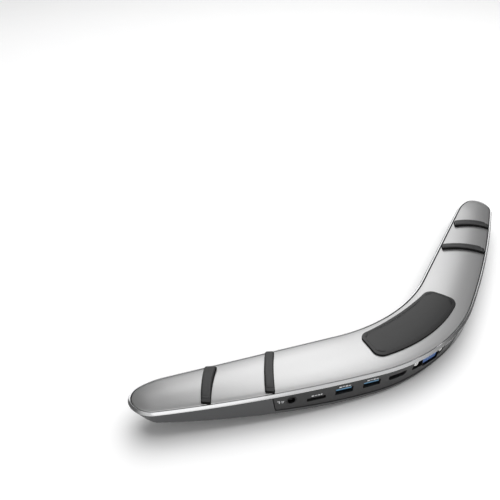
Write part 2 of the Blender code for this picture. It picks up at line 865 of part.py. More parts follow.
def hollow_shell(name, outer, inner, length, depth, place, material_name, near=0.0):
    """A sheet-metal port shell: a prism with a blind hole from its face."""
    shell_body = port_solid(name, outer, near, near + length, place, material_name)
    tool = port_solid(f"{name}_bore", inner, near - 2.0, near + depth, place, material_name)
    boolean(shell_body, tool, "DIFFERENCE")
    return shell_body


def tongue(name, width, thick, z, near, far, place, material_name, x=0.0):
    return port_solid(name, box(width, thick, 0.2, x, z), near, far, place, material_name)


def make_dc_jack():
    place = port_matrix(*DC_JACK_AT)
    body = port_solid("dc_jack_body", box(8.6, 9.6, 0.5), 4.0, 15.0, place, "black_insulator")
    nose = port_solid("dc_jack_nose", circle(3.2), -0.1, 6.0, place, "black_insulator")
    bore = port_solid("dc_jack_bore", circle(2.75), -2.0, 10.5, place, "black_insulator")
    body.name = "dc_jack_housing"
    boolean(body, nose, "UNION")
    boolean(body, bore, "DIFFERENCE")
    port_solid("dc_jack_pin", circle(1.0, 16), 1.2, 10.2, place, "port_steel")


def make_micro_b():
    place = port_matrix(*MICRO_B_AT)
    outer, inner = box(13.0, 2.9, 0.7), box(12.4, 2.2, 0.5)
    hollow_shell("micro_b_shell", outer, inner, 6.5, 5.0, place, "port_steel", SHELL_SET_BACK)
    tongue("micro_b_tongue", 10.6, 0.7, 0.1, 1.2, 7.0, place, "black_insulator")


def make_usb_a():
    for number, at in enumerate(USB_A_AT, 1):
        place = port_matrix(*at)
        name = f"usb_a_shell_{number}"
        outer, inner = box(13.5, 5.9, 0.5), box(12.6, 5.1, 0.3)
        hollow_shell(name, outer, inner, 13.0, 11.5, place, "port_steel", SHELL_SET_BACK)
        tongue(f"usb_a_tongue_{number}", 11.2, 1.9, 1.1, 1.0, 13.5, place, "blue_insulator")


def make_hdmi():
    place = port_matrix(*HDMI_AT)
    outer, inner = hdmi_outline(0.2), hdmi_outline(-0.25)
    hollow_shell("hdmi_shell", outer, inner, 10.0, 8.2, place, "port_steel", SHELL_SET_BACK)
    tongue("hdmi_tongue", 10.6, 1.2, 0.7, 1.2, 10.2, place, "black_insulator")


def make_vga():
    place = port_matrix(*VGA_AT, VGA_SET_BACK)
    flange_near = 2.2
    face = 0.3 - VGA_SET_BACK
    shell_body = port_solid("vga_shell", d_outline(18.0, 8.8, 1.45), face - 0.6, 9.0, place, "port_steel")
    flange = port_solid("vga_flange", box(30.8, 10.3, 1.2), flange_near, flange_near + 0.9, place, "port_steel")
    bore = port_solid("vga_shell_bore", d_outline(17.2, 8.0, 1.35), face - 3.0, 7.2, place, "port_steel")
    screw_holes = [circle(1.9, 16, side * VGA_SCREW_PITCH / 2) for side in (-1, 1)]
    boolean(shell_body, flange, "UNION")
    boolean(shell_body, bore, "DIFFERENCE")
    for number, outline in enumerate(screw_holes):
        tool = port_solid(f"vga_flange_hole_{number}", outline, 0.0, 8.0, place, "port_steel")
        boolean(shell_body, tool, "DIFFERENCE")
    block = [(u, v + 0.35) for u, v in d_outline(16.5, 6.6, 1.2)]
    insulator = port_solid("vga_insulator", block, face + 0.6, 6.9, place, "blue_insulator")
    for row, height in enumerate((2.2, 0.35, -1.5)):
        for column in range(5):
            x = (column - 2) * 2.29 + (0.6 if row == 1 else 0.0) - 0.3
            tool = port_solid(f"vga_pin_hole_{row}_{column}", circle(0.5, 8, x, height), face - 1, face + 4, place, "port_steel")
            boolean(insulator, tool, "DIFFERENCE")
    for name, side in (("left", -1), ("right", 1)):
        make_jackscrew(f"vga_jackscrew_{name}", side * VGA_SCREW_PITCH / 2, place)


def make_jackscrew(name, x, place):
    """Hexagonal standoff with a threaded hole and a thin shank through the flange."""
    head = port_solid(name, circle(2.5, 6, x), -2.6, 1.9, place, "screw_steel", 20.0)
    shank = port_solid(f"{name}_shank", circle(1.4, 16, x), 1.0, 6.4, place, "screw_steel")
    bore = port_solid(f"{name}_bore", circle(1.3, 16, x), -3.0, 1.6, place, "screw_steel")
    boolean(head, shank, "UNION")
    boolean(head, bore, "DIFFERENCE")


# --- circuit board -----------------------------------------------------------------------------------------


def board_strip():
    """(front, back) plan points along the board, left to right."""
    strip = []
    steps = 20
    for step in range(steps + 1):
        x = BOARD_LEFT + (BOARD_RIGHT - BOARD_LEFT) * step / steps
        strip.append(((x, front_y(x, 7.2)), (x, back_y(x, 13.0))))
    return strip


def make_main_board():
    strip = board_strip()
    outline = [front for front, _ in strip] + [back for _, back in reversed(strip)]
    count = len(outline)
    low, high = BOARD_TOP_Z - BOARD_THICK, BOARD_TOP_Z
    points = [(x, y, z) for z in (low, high) for x, y in outline]
    faces = [(i, (i + 1) % count, count + (i + 1) % count, count + i) for i in range(count)]
    half = count // 2
    for level in (0, count):
        for i in range(half - 1):
            faces.append((level + i, level + i + 1, level + count - 2 - i, level + count - 1 - i))
    board = add_object("main_board", to_metres(points), faces, "circuit_board")
    holes = [cylinder(x, y, low - 2, high + 2, 1.4, 16) for x, y in BOARD_SCREWS]
    boolean(board, hidden("board_hole_cutter", joined(holes)), "DIFFERENCE")


def make_chip(name, x, y, size, height, turn=0.0, material_name="chip_epoxy"):
    outline = rounded_box(size[0], size[1], 0.3, 2)
    turn = math.radians(turn)
    count = len(outline)
    points = []
    for z in (BOARD_TOP_Z + GAP, BOARD_TOP_Z + GAP + height):
        for u, v in outline:
            points.append((x + u * math.cos(turn) - v * math.sin(turn), y + u * math.sin(turn) + v * math.cos(turn), z))
    faces = [(i, (i + 1) % count, count + (i + 1) % count, count + i) for i in range(count)]
    faces += [tuple(reversed(range(count))), tuple(range(count, 2 * count))]
    return add_object(name, to_metres(points), faces, material_name)


def make_board_parts():
    base = BOARD_TOP_Z + GAP
    make_chip("usb_hub_chip", -84.0, 47.0, (9.0, 9.0), 0.9, -24)
    make_chip("display_chip", -44.0, 34.0, (14.0, 14.0), 1.4, -14)
    make_chip("memory_chip", -20.0, 21.0, (9.0, 12.0), 1.0, -8)
    make_chip("clock_crystal", -60.0, 38.0, (5.0, 3.2), 1.0, -20)
    make_chip("power_inductor", -96.5, 48.5, (7.0, 7.0), 3.0, -24)
    turned("filter_capacitor", 6.0, 27.0, [(3.0, base), (3.15, base + 0.4), (3.15, base + 7.0), (2.9, base + 7.3)],
           "port_steel", 20)


def main():
    for thing in list(bpy.data.objects):
        bpy.data.objects.remove(thing)
    make_bottom_case()
    make_top_cover()
    make_rim_trim()
    make_port_panel()
    make_badge()
    make_pads()
    make_feet()
    make_case_screws()
    make_main_board()
    make_board_screws()
    make_board_parts()
    make_dc_jack()
    make_micro_b()
    make_usb_a()
    make_hdmi()
    make_vga()


main()
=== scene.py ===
"""Looks of the crescent laptop docking station: finely built skins and procedural finishes on the CAD frame.

Lengths are millimetres in the outline's own frame (front edge at y = 0), and to_metres places them.
"""

import json
import math

import bmesh
import bpy
import numpy as np
from mathutils import Matrix, Vector


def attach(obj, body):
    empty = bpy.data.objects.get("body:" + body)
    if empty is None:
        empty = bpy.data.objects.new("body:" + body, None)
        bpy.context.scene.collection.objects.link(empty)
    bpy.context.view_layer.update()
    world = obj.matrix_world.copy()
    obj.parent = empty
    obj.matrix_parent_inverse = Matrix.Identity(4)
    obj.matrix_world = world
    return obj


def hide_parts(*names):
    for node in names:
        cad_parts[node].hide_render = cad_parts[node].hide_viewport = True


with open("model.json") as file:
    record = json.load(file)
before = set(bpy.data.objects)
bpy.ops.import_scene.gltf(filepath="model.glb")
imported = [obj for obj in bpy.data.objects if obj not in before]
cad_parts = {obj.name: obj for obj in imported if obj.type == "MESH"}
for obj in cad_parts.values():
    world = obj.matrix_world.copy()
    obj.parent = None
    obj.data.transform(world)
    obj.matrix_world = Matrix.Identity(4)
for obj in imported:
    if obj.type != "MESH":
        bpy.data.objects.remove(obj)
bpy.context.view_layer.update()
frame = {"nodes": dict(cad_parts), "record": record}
NODES = frame["nodes"]

MM = 0.001  # metres in a millimetre
ROUND_STEPS = 4  # facets in a rounded edge
NOISE_RANGE = (0.3, 0.7)  # what most of a noise texture's values lie between

# --- sizes shared with the CAD part ------------------------------------------------------------------------
# Arcs of the right half's outline: radius, degrees turned and steps.
FRONT_ARC = (144.0, 22.24, 24)
ARM_ARC = (990.0, 8.85, 24)
TIP_CORNER = (18.6, 58.91, 16)
TIP_END = (12.0, 90.0, 12)
SHOULDER = (50.0, 21.45, 8)
ARM_BACK_STEPS = 20
BACK_ARC = (139.4, 21.45, 24)
TIP_STEP = 64
HALF_STEPS = 128
DEPTH_MID = 53.6
FOOT_HEIGHT = 1.6
HULL_RISE, HULL_SPAN = 14.8, 190.0
RIM_Z = 23.1
FRONT_UNDERCUT, UNDERCUT_SPREAD = 5.4, 60.0
TRIM_BOTTOM_Z, TRIM_WIDTH, TRIM_BEVEL = 23.4, 2.1, 1.6
COVER_INSET, COVER_EDGE_Z, CROWN = 2.5, 25.05, 2.2
CROWN_FADE, FLAT_WIDTH = 40.0, 0.5  # arm width where the crown is full, and where there is none
PANEL_SET_BACK = 0.4
PADS = {"inner": (124.3, 45.7, 36.0), "outer": (161.8, 65.4, 30.6)}  # x and y of the front end, length
PAD_TAPER = {"inner": 0.0, "outer": 2.2}
PAD_WIDTH, PAD_LEAN, PAD_BOW, PAD_PROUD = 6.4, 40.5, 0.8, 3.0
BADGE_FRONT_Y, BADGE_FRONT_RADIUS, BADGE_HALF_ANGLE = 12.0, 132.0, 21.0
BADGE_BACK_Y, BADGE_BACK_RADIUS, BADGE_BACK_HALF = 41.1, 270.0, 40.6
BADGE_CORNER, BADGE_PROUD, BADGE_ROUND = 7.0, 1.3, 0.3
DC_JACK_AT = (-113.0, 17.4)
MICRO_B_AT = (-97.0, 14.1)
USB_A_AT = ((-78.6, 15.5), (-59.6, 15.5))
VGA_AT = (-11.0, 18.6)
VGA_SET_BACK, VGA_SCREW_PITCH = 4.0, 24.99

# --- sizes of the visual's own details ---------------------------------------------------------------------
COVER_ROLL = 0.45  # radius of the cover's rolled edge
COVER_SEAT = 1.6  # width of the flat rim under the cover's edge
COVER_ROWS, UNDERSIDE_ROWS = 28, 8
COVER_THICKNESS, UNDERSIDE_RISE = 1.8, 1.5
TRIM_SOFT = 0.16  # how much of each edge of the trim's bevel is rounded
PAD_CORNER, PAD_LONGEST_STEP = 1.0, 1.6
PAD_ROUND = 0.4  # radius of the shoulder on top of the walls
PAD_WALL_DROP = 1.5  # how far the walls stop below the tread
PAD_LEDGE = 2.4  # how far the tread stops short of the front end
PAD_TREAD = (  # inset, ledge beyond PAD_LEDGE, and height against the tread's top
    (0.5, 0.0, -1.05),
    (0.55, 0.0, -0.4),
    (0.65, 0.15, -0.15),
    (0.8, 0.4, -0.02),
    (0.95, 0.5, 0.0),
    (1.6, 0.5, 0.0),
    (2.3, 0.5, 0.0),
    (3.0, 0.5, 0.0),
)
PLATE_SINK = 0.3  # how far the rests and the badge plate reach into the cover
BADGE_CORNER_STEPS, BADGE_LONGEST_STEP = 10, 2.0
BADGE_EASE = 0.05  # how far the badge's rounded edge stays below its face
BADGE_FACE = (  # inset and height against the face: the sunk line, then the plain middle
    (2.3, -0.03),
    (2.38, -0.14),
    (2.62, -0.14),
    (2.7, -0.03),
    (4.2, -0.02),
    (7.0, -0.01),
    (10.0, 0.0),
    (13.0, 0.0),
)
BADGE_MIDDLE = 0.3  # half the depth of the last outline on the badge's face
JACKSCREW_POINTS = 36
JACKSCREW_PROFILE = (  # radius, depth behind the port's face, and how round the ring is
    (2.5, 1.9, 0.0),
    (2.5, -1.8, 0.0),
    (2.42, -2.1, 0.3),
    (2.25, -2.35, 0.7),
    (1.95, -2.52, 1.0),
    (1.6, -2.6, 1.0),
    (1.3, -2.58, 1.0),
    (1.15, -2.4, 1.0),
    (1.05, -2.1, 1.0),
    (1.15, -1.8, 1.0),
    (1.05, -1.5, 1.0),
    (1.05, 0.8, 1.0),
)
JACKSCREW_STUD_RADIUS, JACKSCREW_STUD_DEPTHS = 1.4, (1.95, 6.4)
MARK_PROUD, MARK_LONGEST_STEP = 0.07, 0.8
USB_BARS = ((-3.1, 0.0, 1.6, 1.1), (-1.0, 0.25, 1.7, 0.6), (1.1, 0.0, 1.5, 1.1), (3.1, -0.2, 1.5, 0.7))
MICRO_B_BARS = ((-2.6, 0.0, 1.4, 0.9), (-0.5, 0.0, 1.7, 0.5), (1.5, 0.0, 1.3, 0.9), (3.1, 0.0, 0.9, 0.9))
POWER_BARS = ((-1.5, 0.9, 1.6, 0.4), (-0.9, -0.3, 0.5, 1.6), (1.0, 0.4, 1.9, 0.45), (1.1, -0.8, 1.2, 0.45))
MARKS = (  # name, x, z, and bars as offset along, offset up, width and height
    ("usb_mark_1", USB_A_AT[0][0], 20.1, USB_BARS),
    ("usb_mark_2", USB_A_AT[1][0], 20.1, USB_BARS),
    ("micro_b_mark", MICRO_B_AT[0], 17.4, MICRO_B_BARS),
    ("power_mark", DC_JACK_AT[0] - 6.6, 17.6, POWER_BARS),
)
WELD_DISTANCE, SMOOTH_ANGLE = 2e-6, 32.0  # for the CAD nodes' facets

# --- studio, in metres and degrees -------------------------------------------------------------------------
FLOOR_REACH = 6.0
STUDIO_BASE = 0.11
STUDIO_LIGHTS = (  # azimuth from +Y towards +X, elevation, outer and inner angle, and how bright
    (205.0, 22.0, 80.0, 35.0, 0.50),
    (212.0, 40.0, 20.0, 8.0, 0.45),
    (46.5, 44.0, 19.0, 8.0, 1.0),
    (63.0, 64.0, 15.0, 5.0, 0.95),
    (38.0, 25.0, 17.0, 5.0, 0.60),
    (56.0, 19.0, 13.0, 5.0, 0.10),
    (78.0, 47.0, 21.0, 6.0, 0.15),
)
CEILING_AZIMUTH, CEILING_ELEVATION, CEILING_DISTANCE = 50.0, 76.0, 1.5
CEILING_SIZE, CEILING_POWER = 2.0, 28.0  # metres across, and watts
CAMERA_AT = (-0.3008, -0.1993, 0.3237)
CAMERA_AZIMUTH, CAMERA_ELEVATION = -39.76, 35.26
CAMERA_LENS, CAMERA_SENSOR = 42.43, 36.0
CAMERA_CLIP = (0.01, 50.0)


def to_metres(points):
    return [(x * MM, (y - DEPTH_MID) * MM, z * MM) for x, y, z in points]


def ease(low, high, value):
    """Smooth step from 0 at low to 1 at high."""
    part = min(max((value - low) / (high - low), 0.0), 1.0)
    return part * part * (3.0 - 2.0 * part)


def quarter_turns(first=0):
    """Angles through a rounded edge, from this step on."""
    return [math.radians(90 * step / ROUND_STEPS) for step in range(first, ROUND_STEPS + 1)]


def direction(azimuth, elevation):
    """Unit vector at an azimuth from +Y towards +X and at an elevation."""
    turn, climb = math.radians(azimuth), math.radians(elevation)
    return Vector((math.sin(turn) * math.cos(climb), math.cos(turn) * math.cos(climb), math.sin(climb)))


# --- procedural materials ----------------------------------------------------------------------------------


class Finish:
    """A node material under construction, in object coordinates scaled to millimetres."""

    def __init__(self, name, color, roughness, metallic=0.0):
        self.material = bpy.data.materials.new(name)
        self.material.use_nodes = True
        self.tree = self.material.node_tree
        self.shader = self.tree.nodes["Principled BSDF"]
        self.shader.inputs["Base Color"].default_value = (*color, 1.0)
        self.shader.inputs["Roughness"].default_value = roughness
        self.shader.inputs["Metallic"].default_value = metallic
        self.color = color
        self.roughness = roughness
        coordinates = self.node("ShaderNodeTexCoord")
        scale = self.node("ShaderNodeVectorMath", operation="SCALE")
        scale.inputs["Scale"].default_value = 1 / MM
        self.link(coordinates.outputs["Object"], scale.inputs[0])
        self.place = scale.outputs[0]

    def node(self, kind, **settings):
        made = self.tree.nodes.new(kind)
        for key, setting in settings.items():
            setattr(made, key, setting)
        return made

    def link(self, source, target):
        self.tree.links.new(source, target)

    def noise(self, size, detail, stretch=None):
        """Noise with features of about this size in millimetres."""
        noise = self.node("ShaderNodeTexNoise")
        noise.inputs["Scale"].default_value = 1.0 / size
        noise.inputs["Detail"].default_value = detail
        place = self.place
        if stretch:
            squeeze = self.node("ShaderNodeVectorMath", operation="MULTIPLY")
            squeeze.inputs[1].default_value = stretch
            self.link(place, squeeze.inputs[0])
            place = squeeze.outputs[0]
        self.link(place, noise.inputs["Vector"])
        return noise.outputs["Fac"]

    def remap(self, source, low, high, to_low, to_high):
        ranged = self.node("ShaderNodeMapRange")
        self.link(source, ranged.inputs["Value"])
        for key, number in (("From Min", low), ("From Max", high), ("To Min", to_low), ("To Max", to_high)):
            ranged.inputs[key].default_value = number
        return ranged.outputs["Result"]

    def vary_roughness(self, source, spread):
        """Roughness within this spread on either side of the finish's own."""
        low, high = self.roughness - spread, self.roughness + spread
        self.link(self.remap(source, *NOISE_RANGE, low, high), self.shader.inputs["Roughness"])

    def vary_color(self, source, other, low=0.35, high=0.65):
        """Fades to the other colour where the source goes from low to high."""
        mix = self.node("ShaderNodeMix", data_type="RGBA")
        self.link(self.remap(source, low, high, 0.0, 1.0), mix.inputs["Factor"])
        mix.inputs["A"].default_value = (*self.color, 1.0)
        mix.inputs["B"].default_value = (*other, 1.0)
        self.link(mix.outputs["Result"], self.shader.inputs["Base Color"])

    def bump(self, source, depth):
        """Relief of this depth in millimetres."""
        bump = self.node("ShaderNodeBump")
        bump.inputs["Distance"].default_value = depth * MM
        self.link(source, bump.inputs["Height"])
        self.link(bump.outputs["Normal"], self.shader.inputs["Normal"])

    def coat(self, weight, roughness):
        self.shader.inputs["Coat Weight"].default_value = weight
        self.shader.inputs["Coat Roughness"].default_value = roughness


def silver_paint():
    made = Finish("silver_paint", (0.83, 0.83, 0.83), 0.30, 0.92)
    made.vary_color(made.noise(0.25, 1.0), (0.81, 0.81, 0.812))
    made.vary_roughness(made.noise(1.6, 4.0), 0.015)
    made.bump(made.noise(0.8, 1.0), 0.0004)
    return made.material


def polished_trim():
    made = Finish("polished_trim", (0.88, 0.885, 0.89), 0.14, 1.0)
    made.vary_roughness(made.noise(6.0, 4.0), 0.03)
    made.bump(made.noise(0.4, 2.0), 0.0008)
    return made.material


def gunmetal_plastic():
    made = Finish("gunmetal_plastic", (0.062, 0.063, 0.065), 0.36, 0.35)
    made.vary_color(made.noise(0.2, 1.0), (0.074, 0.075, 0.077))
    made.vary_roughness(made.noise(3.0, 4.0), 0.03)
    made.bump(made.noise(0.35, 2.0), 0.004)
    return made.material


def panel_plastic():
    made = Finish("panel_plastic", (0.027, 0.027, 0.0274), 0.5, 0.1)
    made.vary_color(made.noise(0.22, 1.0), (0.022, 0.022, 0.0224))
    made.vary_roughness(made.noise(1.2, 3.0), 0.04)
    made.bump(made.noise(0.3, 3.0), 0.01)
    return made.material


def badge_plastic():
    made = Finish("badge_plastic", (0.012, 0.012, 0.0122), 0.32, 0.0)
    made.vary_color(made.noise(0.3, 2.0), (0.015, 0.015, 0.0152))
    made.shader.inputs["Specular IOR Level"].default_value = 0.8
    made.vary_roughness(made.noise(2.0, 4.0), 0.02)
    made.bump(made.noise(0.6, 2.0), 0.002)
    return made.material


def rubber(name, color, roughness=0.68, gloss=0.5):
    made = Finish(name, color, roughness)
    made.shader.inputs["Specular IOR Level"].default_value = gloss
    made.vary_color(made.noise(2.5, 5.0), tuple(1.35 * part for part in color))
    made.vary_roughness(made.noise(0.8, 4.0), 0.06)
    made.bump(made.noise(0.25, 4.0), 0.02)
    return made.material


def sheet_steel(name, color, roughness=0.24):
    made = Finish(name, color, roughness, 1.0)
    made.vary_roughness(made.noise(0.4, 4.0, (1.0, 1.0, 6.0)), 0.06)
    made.bump(made.noise(0.15, 3.0, (1.0, 1.0, 8.0)), 0.002)
    return made.material


# partly painted light: the standoffs' nickel, lightened beyond the screw steel and made half matt so it shows
# bright in the pocket's shade
def nickel_with_painted_light():
    made = Finish("nickel_with_painted_light", (0.90, 0.90, 0.89), 0.36, 0.55)
    made.vary_roughness(made.noise(0.5, 4.0), 0.04)
    made.bump(made.noise(0.2, 3.0), 0.003)
    return made.material


def moulded(name, color, roughness=0.42):
    made = Finish(name, color, roughness)
    made.vary_color(made.noise(0.8, 3.0), tuple(0.85 * part for part in color))
    made.vary_roughness(made.noise(0.6, 3.0), 0.05)
    made.bump(made.noise(0.2, 3.0), 0.008)
    return made.material


def circuit_board():
    made = Finish("circuit_board", (0.012, 0.13, 0.055), 0.4)
    made.vary_color(made.noise(1.5, 2.0, (1.0, 4.0, 1.0)), (0.03, 0.2, 0.09), 0.5, 0.56)
    made.bump(made.noise(1.5, 1.0, (1.0, 4.0, 1.0)), 0.02)
    made.coat(0.5, 0.15)
    return made.material


def printed_white():
    made = Finish("printed_white", (0.78, 0.79, 0.8), 0.5)
    made.vary_color(made.noise(0.2, 2.0), (0.68, 0.69, 0.7))
    return made.material


# --- outline and heights -----------------------------------------------------------------------------------


def half_outline():
    """(x, y, heading) from the front centre round the right tip to the back centre."""
    steps = [(0.0, 0.0, 0.0)]

    def arc(radius, degrees, count):
        x, y, start = steps[-1]
        for step in range(1, count + 1):
            heading = start + math.radians(degrees) * step / count
            across_x = x + radius * (math.sin(heading) - math.sin(start))
            steps.append((across_x, y + radius * (math.cos(start) - math.cos(heading)), heading))

    for piece in (FRONT_ARC, ARM_ARC, TIP_CORNER, TIP_END, SHOULDER):
        arc(*piece)
    x, y, heading = steps[-1]
    back_radius, back_turn, _ = BACK_ARC
    run = (x - back_radius * math.sin(math.radians(back_turn))) / -math.cos(heading)
    for step in range(1, ARM_BACK_STEPS + 1):
        along = run * step / ARM_BACK_STEPS
        steps.append((x + along * math.cos(heading), y + along * math.sin(heading), heading))
    arc(-back_radius, -back_turn, BACK_ARC[2])
    return steps


def full_outline():
    """The closed outline as x, y and the inward normal."""
    right = [(x, y, -math.sin(h), math.cos(h)) for x, y, h in half_outline()]
    left = [(-x, y, -nx, ny) for x, y, nx, ny in right[HALF_STEPS - 1 : 0 : -1]]
    return np.array(right + left)


OUTLINE = full_outline()
COUNT = len(OUTLINE)
FRONT_COLUMNS = [i % COUNT for i in range(-TIP_STEP, TIP_STEP + 1)]
BACK_COLUMNS = list(range(COUNT - TIP_STEP, TIP_STEP - 1, -1))


def edge_table(columns, inset):
    """One edge of the outline, moved inwards, as x and y to interpolate in."""
    moved = OUTLINE[columns, :2] + OUTLINE[columns, 2:] * inset
    return moved[:, 0].copy(), moved[:, 1].copy()


COVER_FRONT = edge_table(FRONT_COLUMNS, COVER_INSET)
COVER_BACK = edge_table(BACK_COLUMNS, COVER_INSET)
RIM_FRONT = edge_table(FRONT_COLUMNS, 0.0)


def cover_z(x, y):
    """Top of the cover: a low crown across the arm that fades out at the tips."""
    low, high = np.interp(x, *COVER_FRONT), np.interp(x, *COVER_BACK)
    width = high - low
    if width < FLAT_WIDTH:
        return COVER_EDGE_Z
    share = min(max((y - low) / width, 0.0), 1.0)
    return COVER_EDGE_Z + CROWN * ease(0.0, CROWN_FADE, width) * (1 - (2 * share - 1) ** 2)


def hull_z(x):
    return FOOT_HEIGHT + HULL_RISE * (x / HULL_SPAN) ** 2


def front_heading(x):
    """How far the front edge has turned abreast of x, in radians."""
    reach = abs(x)
    radius, turn, _ = FRONT_ARC
    end_x = radius * math.sin(math.radians(turn))
    if reach <= end_x:
        heading = math.asin(reach / radius)
    else:
        heading = math.asin(math.sin(math.radians(turn)) + (reach - end_x) / ARM_ARC[0])
    return math.copysign(heading, x)


def wall_point(x, z, inset):
    """Point inset behind the front wall's outer face at height z, abreast of the rim point at x."""
    heading = front_heading(x)
    undercut = FRONT_UNDERCUT * math.exp(-((x / UNDERCUT_SPREAD) ** 2))
    move = undercut * (RIM_Z - z) / (RIM_Z - hull_z(x)) + inset
    return x - math.sin(heading) * move, float(np.interp(x, *RIM_FRONT)) + math.cos(heading) * move, z


def port_matrix(x, z, set_back):
    """Place of a port in the panel, with its own y pointing inwards."""
    place = Vector(to_metres([wall_point(x, z, PANEL_SET_BACK + set_back)])[0])
    return Matrix.Translation(place) @ Matrix.Rotation(front_heading(x), 4, "Z")


# --- mesh building -----------------------------------------------------------------------------------------


def add_mesh(name, points, faces, material, smooth_angle=40.0, place=None):
    """A piece from points in metres, faces outwards, riding on the frame."""
    mesh = bpy.data.meshes.new(name)
    mesh.from_pydata(points, [], faces)
    shape = bmesh.new()
    shape.from_mesh(mesh)
    bmesh.ops.recalc_face_normals(shape, faces=shape.faces)
    shape.to_mesh(mesh)
    shape.free()
    mesh.shade_smooth()
    mesh.set_sharp_from_angle(angle=math.radians(smooth_angle))
    mesh.materials.append(material)
    made = bpy.data.objects.new(name, mesh)
    bpy.context.scene.collection.objects.link(made)
    if place is not None:
        made.matrix_world = place
    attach(made, "root")
    return made


def ring(inset, height):
    """The outline moved inwards, at this height."""
    moved = OUTLINE[:, :2] + OUTLINE[:, 2:] * inset
    return [(x, y, height) for x, y in moved]


def ring_walls(first, second, count=COUNT):
    return [(first + i, first + (i + 1) % count, second + (i + 1) % count, second + i) for i in range(count)]


def across(points, first_new, rows, height):
    """Points and faces that span a ring from its front to its back, at height(x, y)."""
    grid, added = [], []
    for column in range(-TIP_STEP, TIP_STEP + 1):
        front, back = column % COUNT, (HALF_STEPS - column) % COUNT
        if front == back:
            grid.append([front] * (rows + 1))
            continue
        line = [front]
        for row in range(1, rows):
            share = row / rows
            x = points[front][0] * (1 - share) + points[back][0] * share
            y = points[front][1] * (1 - share) + points[back][1] * share
            line.append(first_new + len(added))
            added.append((x, y, height(x, y)))
        grid.append(line + [back])
    faces = []
    for left, right in zip(grid, grid[1:]):
        for row in range(rows):
            faces.append(tuple(dict.fromkeys((left[row], right[row], right[row + 1], left[row + 1]))))
    return added, faces


def rounded_box(width, depth, radius, steps):
    """Outline of a rectangle with round corners, round its own middle."""
    points = []
    for cx, cy, start in ((1, 1, 0), (-1, 1, 90), (-1, -1, 180), (1, -1, 270)):
        for step in range(steps + 1):
            angle = math.radians(start + 90 * step / steps)
            x = cx * (width / 2 - radius) + radius * math.cos(angle)
            points.append((x, cy * (depth / 2 - radius) + radius * math.sin(angle)))
    return points


def divided(corners, longest):
    """The closed polygon with its long sides cut into steps no longer than this."""
    points = []
    for start, end in zip(corners, corners[1:] + corners[:1]):
        cuts = max(1, math.ceil(math.dist(start, end) / longest))
        for cut in range(cuts):
            share = cut / cuts
            points.append((start[0] * (1 - share) + end[0] * share, start[1] * (1 - share) + end[1] * share))
    return points


def make_cover():
    """The silver cover: a crowned skin with a rolled edge, closed underneath."""
    levels = []
    for turn in quarter_turns():
        inset = COVER_INSET + COVER_ROLL * (1 - math.sin(turn))
        levels.append(ring(inset, COVER_EDGE_Z - COVER_ROLL * (1 - math.cos(turn))))
    levels.append(ring(COVER_INSET, TRIM_BOTTOM_Z))
    levels.append(ring(COVER_INSET + COVER_SEAT, TRIM_BOTTOM_Z))
    points = [point for level in levels for point in level]
    faces = []
    for level in range(len(levels) - 1):
        faces += ring_walls(level * COUNT, (level + 1) * COUNT)
    added, more = across(levels[0], len(points), COVER_ROWS, cover_z)
    points += added
    faces += more
    base = (len(levels) - 1) * COUNT

    def underside_z(x, y):
        return min(cover_z(x, y) - COVER_THICKNESS, TRIM_BOTTOM_Z + UNDERSIDE_RISE)

    added, more = across(levels[-1], len(points) - base, UNDERSIDE_ROWS, underside_z)
    points += added
    faces += [tuple(i + base for i in face) for face in more]
    made = add_mesh("cover_skin", to_metres(points), faces, FINISHES["silver_paint"], smooth_angle=60.0)
    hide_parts("top_cover")


def make_trim():
    """The polished strip: a 45 degree bevel with rounded edges, all round the rim."""
    top = TRIM_BOTTOM_Z + TRIM_BEVEL
    profile = [  # inset from the rim, and height
        (0.04, TRIM_BOTTOM_Z),
        (0.0, TRIM_BOTTOM_Z + 0.05),
        (0.03, TRIM_BOTTOM_Z + 0.14),
        (TRIM_SOFT, TRIM_BOTTOM_Z + TRIM_SOFT + 0.06),
        (TRIM_BEVEL - TRIM_SOFT, top - TRIM_SOFT - 0.04),
        (TRIM_BEVEL - 0.03, top - 0.03),
        (TRIM_BEVEL + 0.03, top),
        (TRIM_BEVEL + 0.12, top - 0.02),
        (TRIM_BEVEL + 0.2, top - 0.3),
        (TRIM_WIDTH, TRIM_BOTTOM_Z + 0.3),
        (TRIM_WIDTH, TRIM_BOTTOM_Z),
    ]
    points = [point for inset, height in profile for point in ring(inset, height)]
    faces = []
    for level in range(len(profile)):
        faces += ring_walls(level * COUNT, (level + 1) % len(profile) * COUNT)
    made = add_mesh("trim_strip", to_metres(points), faces, FINISHES["polished_trim"], smooth_angle=30.0)
    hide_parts("rim_trim")


def lofted_plate(name, outlines, place, material, edge_levels):
    """A plate from stacked outlines: each is (points, height function), from the bottom edge to the top middle.

    The walls between the first edge_levels of them are painted near black: painted shade along the plate's
    lower edge.
    """
    count = len(outlines[0][0])
    points, faces = [], []
    for outline, height in outlines:
        for u, v in outline:
            x, y = place(u, v)
            points.append((x, y, height(x, y)))
    for level in range(len(outlines) - 1):
        faces += ring_walls(level * count, (level + 1) * count, count)
    faces.append(tuple(reversed(range(count))))
    faces.append(tuple(range((len(outlines) - 1) * count, len(outlines) * count)))
    made = add_mesh(name, to_metres(points), faces, material, smooth_angle=50.0)
    # painted shade: the lower walls take a near-black finish
    made.data.materials.append(FINISHES["painted_shade_edge"])
    for face in made.data.polygons[: (edge_levels - 1) * count]:
        face.material_index = 1
    return made


def above(lift):
    """Height function at this distance above the cover."""
    return lambda x, y: cover_z(x, y) + lift


def rescaled(outline, width, depth, shrink):
    """The outline moved inwards by shrink on every side."""
    across_it, along = (width - 2 * shrink) / width, (depth - 2 * shrink) / depth
    return [(u * across_it, v * along) for u, v in outline]


